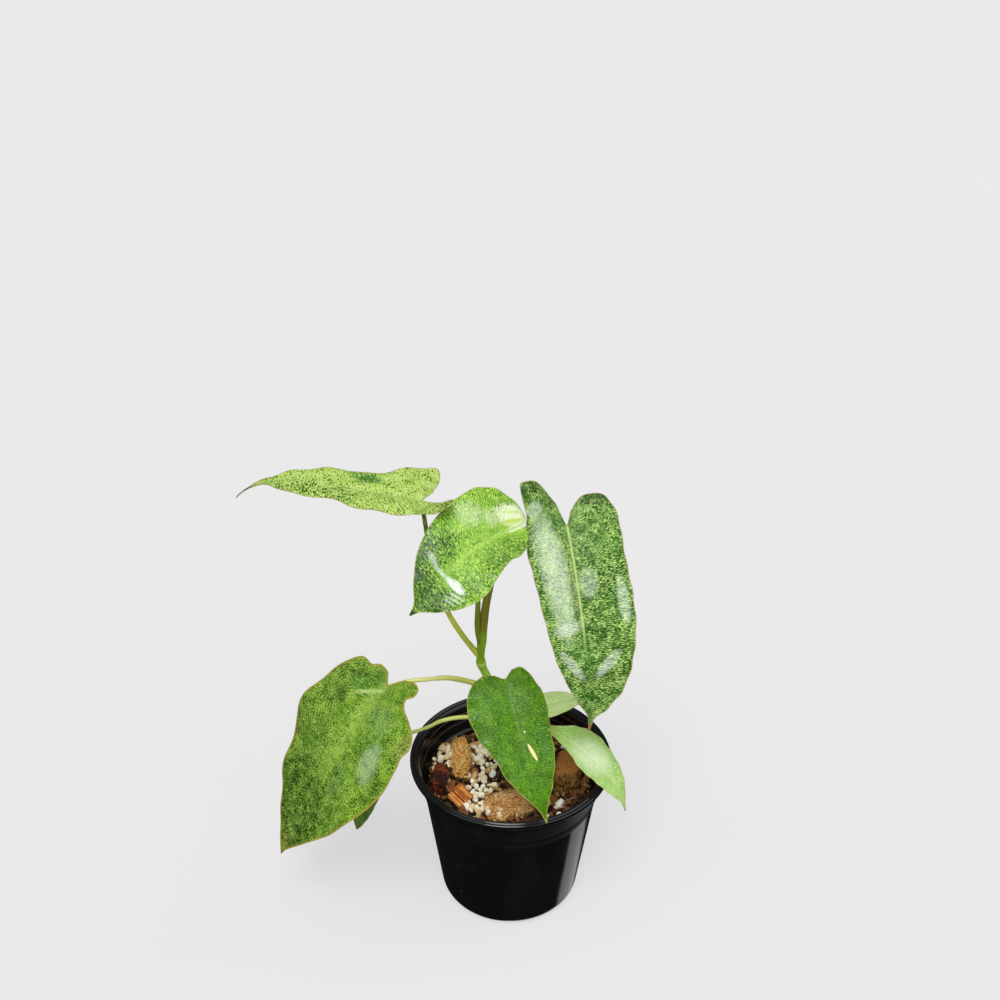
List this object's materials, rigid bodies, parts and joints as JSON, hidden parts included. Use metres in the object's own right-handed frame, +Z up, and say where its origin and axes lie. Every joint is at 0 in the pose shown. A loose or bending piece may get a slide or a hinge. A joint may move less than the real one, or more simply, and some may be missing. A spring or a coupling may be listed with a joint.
{
  "type": "potted paraiso verde philodendron",
  "caption": "Young arrow-leaved philodendron with mottled green leaves on long petioles, rooted in a bark and pumice mix in a round black nursery pot.",
  "frame": {"origin": "centre of the pot's underside, on the surface that the pot stands on", "axes": "+Z up; +X to the right and +Y away as seen from the front, where the large leaf hangs down to the left of the pot"},
  "size_m": [0.2379, 0.1336, 0.3042],
  "materials": {
    "pot_plastic": "gloss",
    "potting_mix": "matte",
    "coconut_husk": "matte",
    "pine_bark": "matte",
    "stem_green": "satin",
    "petiole_pale": "satin",
    "petiole_olive": "satin",
    "leaf_light": "gloss",
    "leaf_mottled": "gloss",
    "leaf_green": "satin",
    "leaf_dark": "gloss"
  },
  "bodies": {
    "root": {"pot": "pot_plastic", "potting_mix": "potting_mix", "husk_left": "coconut_husk", "husk_front": "coconut_husk", "husk_right": "coconut_husk", "husk_block": "pine_bark", "bark_left": "pine_bark", "bark_front": "pine_bark", "bark_back": "pine_bark", "stem": "stem_green", "petiole_upper_left": "petiole_pale", "petiole_right": "petiole_olive", "petiole_centre": "petiole_olive", "petiole_lower_left": "petiole_pale", "petiole_hidden_left": "petiole_pale", "petiole_front": "petiole_pale", "petiole_small_back": "petiole_pale", "petiole_small_right": "petiole_pale", "leaf_upper_left": "leaf_light", "leaf_centre": "leaf_mottled", "leaf_right": "leaf_dark", "leaf_lower_left": "leaf_green", "leaf_hidden_left": "leaf_dark", "leaf_front": "leaf_green", "leaf_small_back": "leaf_light", "leaf_small_right": "leaf_light"}
  },
  "joints": []
}
